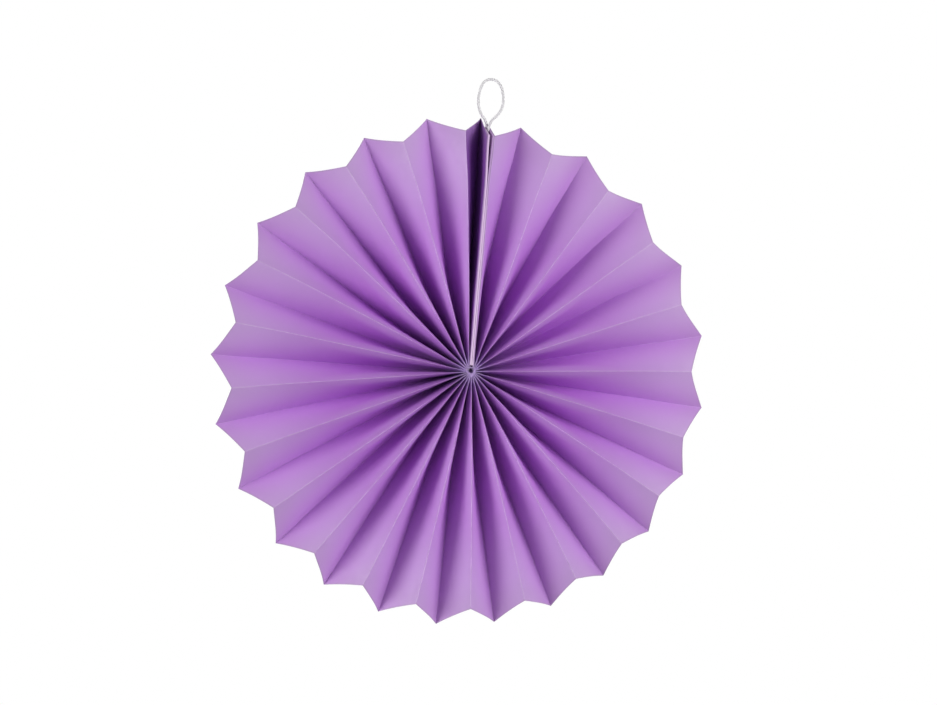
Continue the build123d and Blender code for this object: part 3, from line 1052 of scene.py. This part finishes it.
def refinish(node, material):
    """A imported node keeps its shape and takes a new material."""
    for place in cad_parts[node].material_slots:
        place.material = material


def dress_paper():
    paper = lilac_paper("lilac_paper", cut_edge=False)
    edge = lilac_paper("lilac_paper_cut_edge", cut_edge=True)
    disc = add_piece("pleated_paper", pleated_paper(), [paper, edge])
    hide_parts("pleated_disc")


def dress_seam():
    # Painted lilac shade on each card beside the paper
    left_finish = white_card("left_card", paper_shade_start=0.3, paper_shade=0.6, rim_shade=0.0)
    left = add_piece("left_card", card_strip("left_card", -1), [left_finish])
    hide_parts("left_card_strip")
    # Painted shade greys the right card towards the rim, where the gap between the cards lies in shade
    right_finish = white_card("right_card", paper_shade_start=0.1, paper_shade=0.8, rim_shade=0.8)
    right = add_piece("right_card", card_strip("right_card", 1), [right_finish])
    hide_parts("right_card_strip")
    refinish("seam_tape", adhesive_tape())


def add_thread():
    thread = yarn("gathering_thread", THREAD_PALE, THREAD_SHADE, THREAD_FIBRE)
    ring = add_piece("thread_ring", thread_ring(), [thread])
    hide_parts("centre_thread")
    add_piece("thread_knot", thread_knot(), [thread])


def add_loop():
    rim = HUB.z + RIM_RADIUS
    controls = [(x * MM, depth * STRAND_PLACE, rim + up * MM) for x, up, depth in LOOP_ROUTE]
    route = points_along("loop_route", controls)
    length = sum((after - before).length for before, after in zip(route, route[1:]))
    mesh = twisted_plies("loop_cord", route, LOOP_PLIES, length / LOOP_TWIST, LOOP_CORD, LOOP_SIDES)
    finish = yarn("loop_cord", CORD_WHITE, CORD_SHADE, LOOP_FIBRE)
    cord = add_piece("loop_cord", mesh, [finish])
    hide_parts("hanging_loop")


def set_camera():
    """Square to the photograph: the camera leans against the rosette's lean, because the model stands
    upright."""
    lean = Matrix.Rotation(-LEAN, 3, "Y")
    level = cos(CAMERA_RISE)
    away = lean @ Vector((-sin(CAMERA_SIDE) * level, -cos(CAMERA_SIDE) * level, sin(CAMERA_RISE)))
    right = (lean @ Vector((0, 0, 1))).cross(away).normalized()
    data = bpy.data.cameras.new("photograph")
    data.lens = CAMERA_LENS
    data.clip_start = 0.05
    camera = bpy.data.objects.new("photograph", data)
    camera.location = HUB + Vector((0, 0, AIM_ABOVE_HUB)) + away * CAMERA_DISTANCE
    camera.rotation_euler = Matrix((right, away.cross(right), away)).transposed().to_euler()
    bpy.context.scene.collection.objects.link(camera)
    bpy.context.scene.camera = camera


def add_lamp(name, place, width, power):
    data = bpy.data.lights.new(name, "AREA")
    data.shape = "DISK"
    data.size = width
    data.energy = power
    lamp = bpy.data.objects.new(name, data)
    lamp.location = HUB + place
    lamp.rotation_euler = place.to_track_quat("Z", "Y").to_euler()
    bpy.context.scene.collection.objects.link(lamp)


def set_world():
    world = bpy.data.worlds.new("soft_room")
    world.use_nodes = True
    tree = world.node_tree
    background = tree.nodes["Background"]
    background.inputs["Color"].default_value = opaque(WHITE)
    strength = maths(tree, "MULTIPLY_ADD", seen_directly(tree), 1 - WORLD_LIGHT, WORLD_LIGHT)
    tree.links.new(strength, background.inputs["Strength"])
    bpy.context.scene.world = world


def add_floor():
    mesh = bpy.data.meshes.new("floor")
    turns = [2 * pi * i / FLOOR_SIDES for i in range(FLOOR_SIDES)]
    rim = [(FLOOR_RADIUS * cos(turn), FLOOR_RADIUS * sin(turn), 0) for turn in turns]
    mesh.from_pydata(rim, [], [tuple(range(len(rim)))])
    mesh.materials.append(pale_floor())
    floor = bpy.data.objects.new("floor", mesh)
    floor.location = (0, 0, -FLOOR_DROP)
    bpy.context.scene.collection.objects.link(floor)


set_camera()
add_loop()
dress_paper()
dress_seam()
add_thread()
add_lamp("key_lamp", KEY_PLACE, KEY_WIDTH, KEY_POWER)
add_lamp("side_lamp", SIDE_PLACE, SIDE_WIDTH, SIDE_POWER)
add_lamp("back_lamp", BACK_PLACE, BACK_WIDTH, BACK_POWER)
set_world()
add_floor()
bpy.context.scene.view_settings.view_transform = "Standard"
